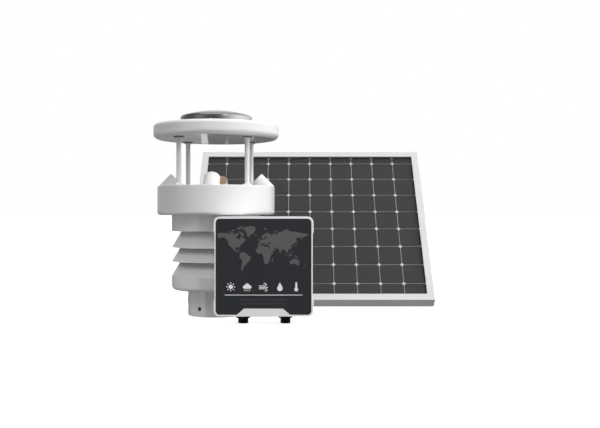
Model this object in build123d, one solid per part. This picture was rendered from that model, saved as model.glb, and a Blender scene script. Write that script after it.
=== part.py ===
from build123d import *
import os
from math import atan2, cos, degrees, hypot, radians, sin

# Weather station kit standing on one floor: an ultrasonic sensor head for a mast, a square controller
# box and a solar panel on a folding stand. Millimetres, +Z up, the front is towards -Y, and the origin
# is on the floor at the centre of the footprint.

BASE = (Align.CENTER, Align.CENTER, Align.MIN)
SLIDE_FIT = 0.05      # radial clearance of a shaft in its hole
LOOSE_FIT = 0.1       # clearance of pieces that only lie in each other

# Layout on the floor.
TOTAL_WIDTH = 374.7   # left edge of the sensor cover to the right edge of the panel frame
TOTAL_DEPTH = 388.0   # controller front to the heel of the panel stand
SENSOR_BEHIND = 106.8 # sensor axis behind the controller front
PANEL_BEHIND = 180.3  # lower front edge of the panel behind the controller front

# Sensor head: radii and heights above the floor.
COVER_R = 80.3
COVER_TOP = 243.3
COVER_BOTTOM = 224.9
COVER_SKIN = 3.0
COVER_WALL = 4.0
PLATE_R = 69.6
PLATE_T = 2.5
DOME_R = 46.2
DOME_APEX = 261.5
DOME_SPHERE_R = 152.0
DOME_WALL = 1.0
DOME_CORNER = 4.0
GROOVE_DEPTH = 1.7
SEAL_T = 0.8
POST_RING_R = 59.8
POST_R = 3.0
POST_FLANGE_R = 6.0   # foot on the ring
POST_HEAD_R = 4.7     # head under the washer
POST_HEAD_T = 0.7
WASHER_T = 1.2
SCREW_RING_R = 59.7
SCREW_HEAD_R = 3.5
RING_R = 75.1
RING_TOP = 164.6
RING_BOTTOM = 127.9
RING_WALL = 4.5
RING_SKIN = 3.0
HORN_R = 10.0         # tube that holds one transducer
HORN_APEX_R = 58.8
HORN_APEX_Z = RING_TOP + 16.1
HORN_LENGTH = 26.0
TRANSDUCER_R = 8.0
TRANSDUCER_DEPTH = 13.0
NECK_R = 57.05
NECK_BOTTOM = 107.3
NECK_WALL = 3.0
LOUVER_1 = ((45.4, 106.4), (56.9, 86.8))
LOUVER_2 = ((46.6, 85.9), (56.9, 69.0))
CUP_TOP = ((47.1, 67.2), (56.8, 50.6))
CUP_BOTTOM = 33.0
CUP_CORNER = 5.0
LOUVER_HOLE_R = 30.0
LOUVER_SKIN = 2.2
LOUVER_PLATE = 2.0
ROD_RING_R = 38.0
ROD_R = 2.0
COLLAR_R = 36.1
MAST_R = 25.2
MAST_DEPTH = 28.0
SOCKET_HOLE_R = 9.0
SET_SCREW_Z = 10.1
SET_SCREW_R = 2.75
SET_SCREW_ANGLE = -120.4

# Controller box.
BOX_X = -41.65
BOX_SIZE = 116.0
BOX_DEPTH = 45.5
BOX_BOTTOM = 10.1
BOX_CORNER = 7.1
BOX_WALL = 3.0
COVER_DEPTH = 10.0
GASKET_T = 1.0
WAIST_DEPTH = 0.95    # the sides step in by this much between the corner zones
WAIST_ABOVE = 18.0
WAIST_BELOW = 18.6
RIM_SIDE = 2.45
RIM_TOP = 2.45
RIM_BOTTOM = 2.2
FRONT_T = 1.7
FRONT_RECESS = 0.3
FRONT_CORNER = 4.7
TAB_TOP_W = 45.2
TAB_BOTTOM_W = 61.4
TAB_HEIGHT = 7.15
PORT_SPACING = 50.0
PORT_R = 6.0
PORT_FLANGE_R = 8.5
PORT_FLANGE_T = 3.8
PORT_CHAMFER = 0.4
PORT_BORE_R = 4.4
PORT_BORE_DEPTH = 7.2
PORT_SHANK = 12.0     # thread above the bottom of the case
PIN_RING_R = 2.4
MOUNT_SPACING = 75.0
MOUNT_HOLE_R = 2.1
MOUNT_HOLE_DEPTH = 8.0
BUTTON_R = 4.0
CASE_SCREW_OFFSET = 48.0
BOARD_BACK = 32.6     # back of the circuit board behind the front face

# Solar panel: width along X, length up the slope, thickness square to the glass.
PANEL_W = 341.8
PANEL_L = 280.7
PANEL_T = 17.0
PANEL_TILT = 50.75
LIP_W = 10.0
LIP_T = 1.6
RAIL_WALL = 2.0
FLANGE_W = 14.0
FLANGE_T = 1.6
GLASS_T = 3.2
CELL_T = 0.3     # cells with the film over them
FILM_T = 0.03   # clear film between the cells and the glass
SHEET_T = 1.5
CELL_PITCH = 32.73
CELL_GAP = 0.55
CELL_CORNER = 2.7
CELL_UNDER_LIP = 1.5  # outermost cells reach this far under the frame
FIRST_COLUMN = 29.46  # grid line nearest the left, from the left of the glass opening
FIRST_ROW = 20.4      # grid line nearest the bottom, from the bottom of the glass opening

# Folding stand behind the panel.
PIVOT_UP = 200.0      # pivot height along the slope
PIVOT_BACK = 12.0     # pivot behind the back of the frame
LEG_W = 14.0
LEG_T = 3.0
PIVOT_R = 2.5
FOOT_R = 6.0
CROSSBAR_R = 3.0
EAR_T = 2.0
EAR_W = 26.0
EAR_REACH = 32.0
SIDE_GAP = 0.2
KNOB_R = 8.5

SENSOR_X = COVER_R - TOTAL_WIDTH / 2
BOX_FRONT = -TOTAL_DEPTH / 2
SENSOR_Y = BOX_FRONT + SENSOR_BEHIND
PANEL_X = (TOTAL_WIDTH - PANEL_W) / 2
PANEL_Y = BOX_FRONT + PANEL_BEHIND
PANEL_Z = PANEL_T * cos(radians(PANEL_TILT))
BOX_TOP = BOX_BOTTOM + BOX_SIZE
BOX_MIDDLE = BOX_BOTTOM + BOX_SIZE / 2
PORT_Y = BOX_DEPTH / 2


def disc(radius, bottom, top, hole=0.0):
    """Upright cylinder on the Z axis between two heights, with an optional hole."""
    body = Pos(0, 0, bottom) * Cylinder(radius, top - bottom, align=BASE)
    if hole:
        body -= Pos(0, 0, bottom - 1) * Cylinder(hole, top - bottom + 2, align=BASE)
    return body


def turned(*outline):
    """Solid of revolution about Z of a closed outline of (radius, height) corners."""
    return revolve(Plane.XZ * make_face(Polyline(*outline, close=True)), Axis.Z)


def round_rim(shape, radius, height, amount):
    """Rounds the circular edge of this radius at this height."""
    circles = shape.edges().filter_by(GeomType.CIRCLE)
    rim = [e for e in circles if abs(e.radius - radius) < 0.01 and abs(e.arc_center.Z - height) < 0.01]
    return fillet(rim, amount)


def around(shape, count, first_angle=0.0):
    """Copies of a shape, evenly spaced about the Z axis."""
    return [Rot(0, 0, first_angle + i * 360 / count) * shape for i in range(count)]


# ---------------------------------------------------------------- sensor head, about its own axis

HORN_FACE = Plane(
    origin=(HORN_APEX_R - HORN_R * sin(radians(45)), 0, HORN_APEX_Z - HORN_R * cos(radians(45))),
    x_dir=(0, 1, 0),
    z_dir=(1, 0, -1),
).location
POST_ANGLE = 45.0
SCREW_TIP = COVER_TOP - 7.0
POST_TIP = COVER_TOP - 8.0
POST_ROOT = RING_TOP - 12.0


def in_horn(shape):
    """Copies of a piece built on the face of one transducer tube, one for each tube."""
    return around(HORN_FACE * shape, 4)


def at_posts(shape):
    """Copies of an upright piece at the four posts."""
    return around(Pos(POST_RING_R, 0, 0) * shape, 4, POST_ANGLE)


def at_cover_screws(shape):
    """Copies of an upright piece at the four screws of the reflector."""
    return around(Pos(SCREW_RING_R, 0, 0) * shape, 4)


def dome_form(radius, sphere_r, corner, bottom):
    """Short cylinder closed by a shallow spherical cap with a rounded shoulder."""
    centre = DOME_APEX - DOME_SPHERE_R
    form = disc(radius, bottom, DOME_APEX + 1) & (Pos(0, 0, centre) * Sphere(sphere_r))
    shoulder = centre + (sphere_r ** 2 - radius ** 2) ** 0.5
    return round_rim(form, radius, shoulder, corner)


def rain_dome():
    """Spun steel dome that raindrops strike."""
    foot = COVER_TOP - GROOVE_DEPTH + SEAL_T
    outer = dome_form(DOME_R, DOME_SPHERE_R, DOME_CORNER, foot)
    return outer - dome_form(DOME_R - DOME_WALL, DOME_SPHERE_R - DOME_WALL, DOME_CORNER - DOME_WALL, foot)


def dome_seal():
    """Flat ring in the groove under the dome's edge."""
    floor = COVER_TOP - GROOVE_DEPTH
    return disc(DOME_R, floor, floor + SEAL_T, hole=DOME_R - DOME_WALL)


def piezo_disc():
    """Impact sensor under the middle of the dome."""
    top = DOME_APEX - DOME_WALL - 0.5
    return disc(10.0, top - 1.0, top)


def rain_board():
    """Round board that reads the impact sensor, on the cover's boss."""
    return disc(32.0, COVER_TOP + 2, COVER_TOP + 3.6, hole=3.0)


def top_cover():
    """Moulded cover that carries the dome and holds the posts and reflector."""
    skin_under = COVER_TOP - COVER_SKIN
    plate_top = COVER_BOTTOM + PLATE_T
    cover = round_rim(disc(COVER_R, COVER_BOTTOM, COVER_TOP), COVER_R, COVER_TOP, 4.4)
    cover = round_rim(cover, COVER_R, COVER_BOTTOM, 6.3)
    cover -= disc(COVER_R - COVER_WALL, plate_top, skin_under)
    cover -= disc(PLATE_R + LOOSE_FIT, COVER_BOTTOM - 1, plate_top)
    for boss in at_posts(disc(6.5, plate_top, skin_under)):
        cover += boss
    for boss in at_cover_screws(disc(4.0, plate_top, skin_under)):
        cover += boss
    for hole in at_posts(disc(POST_R + SLIDE_FIT, COVER_BOTTOM, POST_TIP)):
        cover -= hole
    for hole in at_cover_screws(disc(1.75, COVER_BOTTOM, SCREW_TIP)):
        cover -= hole
    cover -= disc(DOME_R + LOOSE_FIT, COVER_TOP - GROOVE_DEPTH, COVER_TOP + 1,
                  hole=DOME_R - DOME_WALL - LOOSE_FIT)
    cover += disc(8.0, COVER_TOP - 1, COVER_TOP + 2)
    return cover - disc(5.0, COVER_BOTTOM, COVER_TOP + 3)


def north_mark():
    """Small raised arrow on top of the cover, for lining the head up with north."""
    arrow = make_face(Polyline((-2.6, 0), (2.6, 0), (0, -5.2), close=True))
    return Pos(0, -COVER_R + 12, COVER_TOP) * extrude(arrow, 0.8)


def reflector_plate():
    """Polished plate that closes the cover and bounces the sound between the transducers."""
    plate = disc(PLATE_R, COVER_BOTTOM, COVER_BOTTOM + PLATE_T)
    span = (COVER_BOTTOM - 1, COVER_BOTTOM + PLATE_T + 1)
    for hole in at_cover_screws(disc(SCREW_HEAD_R + LOOSE_FIT, *span)):
        plate -= hole
    for hole in at_posts(disc(POST_R + SLIDE_FIT, *span)):
        plate -= hole
    return plate


def reflector_screws():
    """Flush screws that hold the reflector to the cover."""
    head = COVER_BOTTOM + 0.15
    neck = COVER_BOTTOM + PLATE_T
    screw = disc(SCREW_HEAD_R, head, neck) + disc(1.7, neck, SCREW_TIP - 1)
    return Compound(at_cover_screws(screw))


def support_posts():
    """Four flanged posts between the ring and the cover."""
    top = COVER_BOTTOM - WASHER_T
    post = turned(
        (0, POST_ROOT + 0.5), (POST_R, POST_ROOT + 0.5), (POST_R, RING_TOP), (POST_FLANGE_R, RING_TOP),
        (POST_FLANGE_R, RING_TOP + 1.5), (POST_R, RING_TOP + 1.5), (POST_R, top - 3 * POST_HEAD_T),
        (POST_HEAD_R - 0.6, top - POST_HEAD_T), (POST_HEAD_R, top - POST_HEAD_T), (POST_HEAD_R, top),
        (POST_R, top), (POST_R, POST_TIP - 0.5), (0, POST_TIP - 0.5),
    )
    return Compound(at_posts(round_rim(post, POST_R, RING_TOP + 1.5, 2.6)))


def post_washers():
    """Washers between the posts and the reflector."""
    under = COVER_BOTTOM - WASHER_T
    return Compound(at_posts(disc(POST_FLANGE_R, under, COVER_BOTTOM, hole=POST_R + SLIDE_FIT)))


def horn_tubes():
    """Slanted tubes above the ring and inside it, cut flush with its wall."""
    envelope = disc(RING_R - 0.2, RING_TOP, HORN_APEX_Z + 5)
    envelope += disc(RING_R - RING_WALL, RING_BOTTOM + 5, RING_TOP)
    return [horn & envelope for horn in in_horn(Cylinder(HORN_R, HORN_LENGTH, align=BASE))]


def transducer_horns():
    """Four slanted tubes that hold the transducers, each with a bore and a hole for its leads."""
    bores = in_horn(Pos(0, 0, -1) * Cylinder(TRANSDUCER_R + SLIDE_FIT, TRANSDUCER_DEPTH + 1, align=BASE))
    leads = in_horn(Pos(-3, 0, 0) * Cylinder(2.0, HORN_LENGTH + 5, align=BASE))
    inside = disc(RING_R - 2 * RING_WALL, RING_BOTTOM, HORN_APEX_Z)
    horns = []
    for horn, bore, lead in zip(horn_tubes(), bores, leads):
        horns.append(horn - bore - (lead & inside))
    return Compound(horns)


def ring_housing():
    """Upturned tray that the four horns stand in, with sockets for the posts."""
    ring = round_rim(disc(RING_R, RING_BOTTOM, RING_TOP), RING_R, RING_TOP, 1.0)
    ring = round_rim(ring, RING_R, RING_BOTTOM, 4.0)
    ring -= disc(RING_R - RING_WALL, RING_BOTTOM - 1, RING_TOP - RING_SKIN)
    for boss in at_posts(disc(6.0, POST_ROOT - 3, RING_TOP - 1)):
        ring += boss
    for horn in horn_tubes():
        ring -= horn
    for hole in at_posts(disc(POST_R + SLIDE_FIT, POST_ROOT, RING_TOP + 1)):
        ring -= hole
    return ring


def transducers():
    """Ultrasonic transducers: a wide front cap on a narrower can."""
    cap = Pos(0, 0, 0.4) * Cylinder(TRANSDUCER_R, 2.0, align=BASE)
    can = Pos(0, 0, 2.4) * Cylinder(7.0, 9.0, align=BASE)
    return Compound(in_horn(cap + can))


def transducer_sleeves():
    """Rubber sleeves that keep each can from touching its tube."""
    sleeve = Pos(0, 0, 2.6) * Cylinder(TRANSDUCER_R, 8.0, align=BASE)
    sleeve -= Cylinder(7.0 + SLIDE_FIT, 20, align=BASE)
    return Compound(in_horn(sleeve))


def ring_base():
    """Plate that closes the ring from below, with pillars for the board."""
    base = disc(RING_R - RING_WALL - LOOSE_FIT, RING_BOTTOM, RING_BOTTOM + 3, hole=LOUVER_HOLE_R)
    pillar_form = Pos(45, 0, 0) * disc(3.0, RING_BOTTOM + 2, RING_BOTTOM + 8)
    for pillar in around(pillar_form, 4, POST_ANGLE):
        base += pillar
    return base


def main_board():
    """Round board that drives the transducers."""
    return disc(62.0, RING_BOTTOM + 8, RING_BOTTOM + 9.6, hole=10.0)


def neck_shell():
    """Short drum between the ring and the louvers."""
    neck = round_rim(disc(NECK_R, NECK_BOTTOM, RING_BOTTOM), NECK_R, NECK_BOTTOM, 1.2)
    neck -= disc(NECK_R - NECK_WALL, NECK_BOTTOM + 3, RING_BOTTOM + 1)
    return neck - disc(LOUVER_HOLE_R, NECK_BOTTOM - 1, RING_BOTTOM)


def rod_holes(bottom, top):
    """Clearance holes for the three tie rods."""
    return around(Pos(ROD_RING_R, 0, 0) * disc(ROD_R + SLIDE_FIT, bottom, top), 3, 30)


def louver(shoulder, rim):
    """Conical skirt under a flat ring, open in the middle for air."""
    (top_r, top_z), (rim_r, rim_z) = shoulder, rim
    slope = (rim_r - top_r) / (top_z - rim_z)
    under_r = top_r + LOUVER_PLATE * slope - LOUVER_SKIN
    skirt = turned(
        (LOUVER_HOLE_R, top_z), (top_r, top_z), (rim_r, rim_z), (rim_r - LOUVER_SKIN, rim_z),
        (under_r, top_z - LOUVER_PLATE), (LOUVER_HOLE_R, top_z - LOUVER_PLATE),
    )
    for hole in rod_holes(rim_z, top_z + 1):
        skirt -= hole
    return skirt


def lower_cup():
    """Lowest louver drawn down into a closed cup."""
    (top_r, top_z), (wall_r, wall_z) = CUP_TOP
    slope = (wall_r - top_r) / (top_z - wall_z)
    under_r = top_r + LOUVER_PLATE * slope - LOUVER_SKIN
    floor = CUP_BOTTOM + 3
    cup = turned(
        (LOUVER_HOLE_R, top_z), (top_r, top_z), (wall_r, wall_z), (wall_r, CUP_BOTTOM),
        (SOCKET_HOLE_R, CUP_BOTTOM), (SOCKET_HOLE_R, floor), (wall_r - LOUVER_SKIN, floor),
        (wall_r - LOUVER_SKIN, wall_z), (under_r, top_z - LOUVER_PLATE),
        (LOUVER_HOLE_R, top_z - LOUVER_PLATE),
    )
    cup = round_rim(cup, wall_r, CUP_BOTTOM, CUP_CORNER)
    for hole in rod_holes(top_z - LOUVER_PLATE - 1, top_z + 1):
        cup -= hole
    return cup


def louver_rods():
    """Three tie rods from the cup up to the neck."""
    rod = Pos(ROD_RING_R, 0, 0) * disc(ROD_R, CUP_BOTTOM + 3, NECK_BOTTOM)
    return Compound(around(rod, 3, 30))


def louver_spacers():
    """Tubes on the rods that hold the louvers apart."""
    plates = (LOUVER_1[0][1], LOUVER_2[0][1], CUP_TOP[0][1])
    tops = (NECK_BOTTOM, *(plate - LOUVER_PLATE for plate in plates))
    bottoms = (*plates, CUP_BOTTOM + 3)
    tubes = []
    for top, bottom in zip(tops, bottoms):
        tube = Pos(ROD_RING_R, 0, 0) * disc(4.0, bottom, top, hole=ROD_R + SLIDE_FIT)
        tubes += around(tube, 3, 30)
    return Compound(tubes)


def sensor_socket():
    """Round connector in the roof of the mast bore."""
    floor = CUP_BOTTOM + 3
    mouth = MAST_DEPTH + 1
    body = turned((0, mouth), (8, mouth), (8, floor), (12, floor), (12, floor + 2.5), (8, floor + 2.5),
                  (8, floor + 10), (0, floor + 10))
    return body - disc(6.0, mouth - 1, mouth + 6, hole=4.0)


def climate_board():
    """Round board in the cup that carries the air probe."""
    return disc(30.0, CUP_BOTTOM + 13, CUP_BOTTOM + 14.6)


def climate_probe():
    """Filter cap over the temperature and humidity sensor, in the middle of the louvers."""
    foot = CUP_BOTTOM + 14.6
    return round_rim(disc(6.0, foot, foot + 36), 6.0, foot + 36, 3.0)


def mast_collar():
    """Thick ring that slips over the mast, with three screw holes."""
    collar = round_rim(disc(COLLAR_R, 0, CUP_BOTTOM), COLLAR_R, 0, 0.8)
    collar -= disc(MAST_R, -1, MAST_DEPTH)
    collar -= disc(SOCKET_HOLE_R, MAST_DEPTH - 1, CUP_BOTTOM + 1)
    drill = Rot(0, 90, 0) * Cylinder(SET_SCREW_R + SLIDE_FIT, 14, align=BASE)
    for hole in around(Pos(MAST_R - 1, 0, SET_SCREW_Z) * drill, 3, SET_SCREW_ANGLE):
        collar -= hole
    return collar


def collar_screws():
    """Headless clamp screws, sunk in the collar."""
    screw = Rot(0, 90, 0) * Cylinder(SET_SCREW_R, 8.0, align=BASE)
    socket = Rot(0, 90, 0) * extrude(RegularPolygon(1.7, 6), 4.0)
    screw -= Pos(5.0, 0, 0) * socket
    return Compound(around(Pos(MAST_R + 0.6, 0, SET_SCREW_Z) * screw, 3, SET_SCREW_ANGLE))


def sensor_parts():
    """Every piece of the sensor head by name."""
    parts = {
        "rain_dome": rain_dome(), "dome_seal": dome_seal(), "piezo_disc": piezo_disc(),
        "rain_board": rain_board(), "top_cover": top_cover(), "north_mark": north_mark(),
        "reflector_plate": reflector_plate(), "reflector_screws": reflector_screws(),
        "post_washers": post_washers(), "ring_housing": ring_housing(), "ring_base": ring_base(),
        "transducer_horns": transducer_horns(),
        "transducer_sleeves": transducer_sleeves(), "main_board": main_board(),
        "support_posts": support_posts(), "transducers": transducers(), "neck_shell": neck_shell(),
        "louver_upper": louver(*LOUVER_1), "louver_middle": louver(*LOUVER_2), "lower_cup": lower_cup(),
        "louver_rods": louver_rods(), "louver_spacers": louver_spacers(), "sensor_socket": sensor_socket(),
        "climate_board": climate_board(), "climate_probe": climate_probe(),
        "mast_collar": mast_collar(), "collar_screws": collar_screws(),
    }
    place = Pos(SENSOR_X, SENSOR_Y, 0)
    return {name: place * shape for name, shape in parts.items()}


# ---------------------------------------------------------------- controller box
# X is from its middle and Y from its front.


def slab(sketch, near, far):
    """Extrudes a front-view sketch between two depths behind the front face."""
    return extrude(Plane.XZ.offset(-near) * sketch, -(far - near))


def across(radius, x, z, near, far):
    """Cylinder from front to back between two depths."""
    return slab(Pos(x, z) * Circle(radius), near, far)


def box_outline(inset=0.0):
    """Rounded square whose sides step in between the corner zones."""
    size = BOX_SIZE - 2 * inset
    outline = Pos(0, BOX_MIDDLE) * RectangleRounded(size, size, BOX_CORNER - inset)
    edge = size / 2
    low = BOX_BOTTOM + WAIST_ABOVE
    high = BOX_TOP - WAIST_BELOW
    for side in (-1, 1):
        waist = Polyline(
            (side * (edge + 1), low - 1), (side * (edge - WAIST_DEPTH), low + WAIST_DEPTH),
            (side * (edge - WAIST_DEPTH), high - WAIST_DEPTH), (side * (edge + 1), high + 1), close=True,
        )
        outline -= make_face(waist)
    return outline


def inner_outline():
    """Inside of the box walls."""
    inside = BOX_SIZE - 2 * (BOX_WALL + WAIST_DEPTH)
    return Pos(0, BOX_MIDDLE) * RectangleRounded(inside, BOX_SIZE - 2 * BOX_WALL, BOX_CORNER - BOX_WALL)


def front_outline(gap=0.0):
    """Dark front panel: rounded rectangle with a notch for the tab at the bottom."""
    width = BOX_SIZE - 2 * RIM_SIDE
    height = BOX_SIZE - RIM_TOP - RIM_BOTTOM
    bottom = BOX_BOTTOM + RIM_BOTTOM
    plate = Pos(0, bottom + height / 2) * RectangleRounded(width, height, FRONT_CORNER)
    notch = make_face(Polyline(
        (-TAB_BOTTOM_W / 2, bottom), (-TAB_TOP_W / 2, bottom + TAB_HEIGHT),
        (TAB_TOP_W / 2, bottom + TAB_HEIGHT), (TAB_BOTTOM_W / 2, bottom), close=True,
    ))
    top_corners = [v for v in notch.vertices() if v.Y > bottom + 1]
    notch = fillet(top_corners, 2.5)
    plate -= notch
    return offset(plate, -gap) if gap else plate


def case_screw_spots():
    """Places of the four case screws."""
    return [(x, BOX_MIDDLE + z) for x in (-CASE_SCREW_OFFSET, CASE_SCREW_OFFSET)
            for z in (-CASE_SCREW_OFFSET, CASE_SCREW_OFFSET)]


def mount_spots():
    """Places of the four blind mounting holes in the back."""
    half = MOUNT_SPACING / 2
    return [(x, BOX_MIDDLE + z) for x in (-half, half) for z in (-half, half)]


def board_spots():
    """Places of the four pillars behind the circuit board."""
    return [(x, BOX_MIDDLE + z) for x in (-25, 25) for z in (-25, 25)]


def front_cover():
    """Light front half of the case, with a pocket for the panel and the tab left standing."""
    cover = slab(box_outline(), 0, COVER_DEPTH)
    front_edges = [e for e in cover.edges() if abs(e.center().Y) < 0.001]
    cover = fillet(front_edges, 0.6)
    cover -= slab(front_outline(), -1, FRONT_RECESS + FRONT_T)
    cover -= slab(inner_outline(), FRONT_RECESS + FRONT_T + 2, COVER_DEPTH + 1)
    for x, z in case_screw_spots():
        cover += across(4.5, x, z, FRONT_T + 2, COVER_DEPTH)
        cover -= across(1.9 + SLIDE_FIT, x, z, 5, COVER_DEPTH + 1)
    return cover


def front_panel():
    """Dark plate in the pocket of the front cover."""
    return slab(front_outline(LOOSE_FIT), FRONT_RECESS, FRONT_RECESS + FRONT_T)


def case_gasket():
    """Seal between the two halves of the case."""
    return slab(box_outline(0.6) - inner_outline(), COVER_DEPTH, COVER_DEPTH + GASKET_T)


def rear_case():
    """Deep rear half of the case, with bosses for screws, board and mounting bolts."""
    start = COVER_DEPTH + GASKET_T
    back = BOX_DEPTH - BOX_WALL
    case = slab(box_outline(), start, BOX_DEPTH)
    rear_edges = [e for e in case.edges() if abs(e.center().Y - BOX_DEPTH) < 0.001]
    case = fillet(rear_edges, 0.6)
    case -= slab(inner_outline(), start - 1, back)
    for x, z in case_screw_spots():
        case += across(5.0, x, z, start, back + 1)
        case -= across(2.1, x, z, start - 1, BOX_DEPTH + 1)
        case -= across(4.0, x, z, back, BOX_DEPTH + 1)
    for x, z in mount_spots():
        case += across(5.0, x, z, back - 7, back + 1)
        case -= across(MOUNT_HOLE_R, x, z, BOX_DEPTH - MOUNT_HOLE_DEPTH, BOX_DEPTH + 1)
    for x, z in board_spots():
        case += across(3.0, x, z, BOARD_BACK, back + 1)
    for hole in at_ports(disc(PORT_R + LOOSE_FIT, BOX_BOTTOM - 1, BOX_BOTTOM + BOX_WALL + 1)):
        case -= hole
    case -= Pos(0, PORT_Y, 0) * disc(BUTTON_R + LOOSE_FIT, BOX_BOTTOM - 1, BOX_BOTTOM + BOX_WALL + 1)
    return case


def case_screws():
    """Screws from the back through the rear case into the front cover."""
    back = BOX_DEPTH - BOX_WALL
    screws = []
    for x, z in case_screw_spots():
        screw = across(1.9, x, z, 5.5, back) + across(3.8, x, z, back, BOX_DEPTH - 0.4)
        screws.append(screw)
    return Compound(screws)


def controller_board():
    """Circuit board in front of the mounting bosses."""
    return slab(Pos(0, BOX_MIDDLE) * RectangleRounded(84, 84, 2), BOARD_BACK - 1.6, BOARD_BACK)


def battery_cells():
    """Two round cells in front of the board."""
    cell = Rot(0, 90, 0) * Cylinder(9.0, 65.0)
    return Compound([Pos(0, 17, BOX_MIDDLE + z) * cell for z in (8, 30)])


def battery_holder():
    """Tray that clips the cells to the board."""
    tray = slab(Pos(0, BOX_MIDDLE + 19) * Rectangle(74, 46), 24, 31)
    for z in (8, 30):
        tray -= Pos(0, 17, BOX_MIDDLE + z) * (Rot(0, 90, 0) * Cylinder(9.0 + LOOSE_FIT, 66.0))
    return tray


def at_ports(shape):
    """The two places of a piece of the connectors, left first."""
    return [Pos(x, PORT_Y, 0) * shape for x in (-PORT_SPACING / 2, PORT_SPACING / 2)]


def port_shell():
    """Threaded connector shell: barrel below the case, flange against it, thread into it."""
    flange = BOX_BOTTOM - PORT_FLANGE_T
    shell = turned(
        (0, 0), (PORT_R, 0), (PORT_R, flange), (PORT_FLANGE_R - PORT_CHAMFER, flange),
        (PORT_FLANGE_R, flange + PORT_CHAMFER), (PORT_FLANGE_R, BOX_BOTTOM), (PORT_R, BOX_BOTTOM),
        (PORT_R, BOX_BOTTOM + PORT_SHANK), (0, BOX_BOTTOM + PORT_SHANK),
    )
    return round_rim(shell, PORT_R, 0, 0.5) - disc(PORT_BORE_R, -1, PORT_BORE_DEPTH)


def port_inserts():
    """Insulating inserts with holes for the pins, deep in each connector."""
    insert = disc(PORT_BORE_R - SLIDE_FIT, 3.2, PORT_BORE_DEPTH)
    for hole in around(Pos(PIN_RING_R, 0, 0) * disc(0.55, 3.0, 6.0), 4, 45):
        insert -= hole
    return Compound(at_ports(insert))


def port_pins():
    """Contact pins, four in each connector."""
    pins = around(Pos(PIN_RING_R, 0, 0) * disc(0.5, 0.9, 6.0), 4, 45)
    return Compound([place for pin in pins for place in at_ports(pin)])


def port_nuts():
    """Hexagon nuts that hold the connectors from inside."""
    seat = BOX_BOTTOM + BOX_WALL
    nut = Pos(0, 0, seat) * extrude(RegularPolygon(9.0, 6), 3.0)
    return Compound(at_ports(nut - disc(PORT_R + SLIDE_FIT, seat - 1, seat + 4)))


def reset_button():
    """Push button flush with the bottom of the case, with a flange that stops it falling out."""
    seat = BOX_BOTTOM + BOX_WALL
    button = disc(BUTTON_R, BOX_BOTTOM, seat + 4) + disc(5.5, seat + 0.1, seat + 1.2)
    return Pos(0, PORT_Y, 0) * button


def controller_parts():
    """Every piece of the controller by name."""
    parts = {
        "front_cover": front_cover(), "front_panel": front_panel(), "case_gasket": case_gasket(),
        "rear_case": rear_case(), "case_screws": case_screws(), "controller_board": controller_board(),
        "battery_cells": battery_cells(), "battery_holder": battery_holder(),
        "port_inserts": port_inserts(), "port_pins": port_pins(), "port_nuts": port_nuts(),
        "reset_button": reset_button(),
    }
    parts["port_left"], parts["port_right"] = at_ports(port_shell())
    place = Pos(BOX_X, BOX_FRONT, 0)
    return {name: place * shape for name, shape in parts.items()}


# ---------------------------------------------------------------- solar panel
# Built lying flat: X is across, Y up the slope and Z out of the glass.

PANEL_PLACE = Pos(PANEL_X, PANEL_Y, PANEL_Z) * Rot(PANEL_TILT, 0, 0)
GLASS_TOP = -LIP_T
CELL_TOP = GLASS_TOP - GLASS_T
SHEET_TOP = CELL_TOP - CELL_T
LEDGE_TOP = SHEET_TOP - SHEET_T
LAMINATE_MARGIN = RAIL_WALL + 0.3
JUNCTION_SIZE = (70.0, 46.0)
JUNCTION_UP = 205.0    # middle of the junction box up the slope
JUNCTION_T = 12.0
LID_T = 2.0
GLAND_R = 4.0


def flat(width, length, bottom, top, corner=0.0):
    """Plate centred on the panel between two levels."""
    outline = RectangleRounded(width, length, corner) if corner else Rectangle(width, length)
    return Pos(0, PANEL_L / 2, bottom) * extrude(outline, top - bottom)


def rail(length):
    """Mitred frame rail along X whose outer side is at y = 0: a wall, a lip, a ledge and a flange."""
    section = make_face(Polyline(
        (0, -PANEL_T), (FLANGE_W, -PANEL_T), (FLANGE_W, -PANEL_T + FLANGE_T),
        (RAIL_WALL, -PANEL_T + FLANGE_T), (RAIL_WALL, LEDGE_TOP - LIP_T), (LIP_W - 2, LEDGE_TOP - LIP_T),
        (LIP_W - 2, LEDGE_TOP), (RAIL_WALL, LEDGE_TOP), (RAIL_WALL, -LIP_T), (LIP_W, -LIP_T), (LIP_W, 0),
        (0, 0), close=True,
    ))
    bar = Pos(-length / 2, 0, 0) * extrude(Plane.YZ * section, length)
    mitre = make_face(Polyline(
        (-length / 2, 0), (length / 2, 0), (length / 2 - FLANGE_W, FLANGE_W),
        (-length / 2 + FLANGE_W, FLANGE_W), close=True,
    ))
    return bar & (Pos(0, 0, -PANEL_T) * extrude(mitre, PANEL_T))


def frame_rails():
    """The four rails in place."""
    middle = Pos(0, PANEL_L / 2, 0)
    across_rail = Pos(0, -PANEL_L / 2, 0) * rail(PANEL_W)
    side_rail = Pos(0, -PANEL_W / 2, 0) * rail(PANEL_L)
    return {
        "frame_rail_bottom": middle * across_rail,
        "frame_rail_top": middle * (Rot(0, 0, 180) * across_rail),
        "frame_rail_left": middle * (Rot(0, 0, -90) * side_rail),
        "frame_rail_right": middle * (Rot(0, 0, 90) * side_rail),
    }


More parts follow.
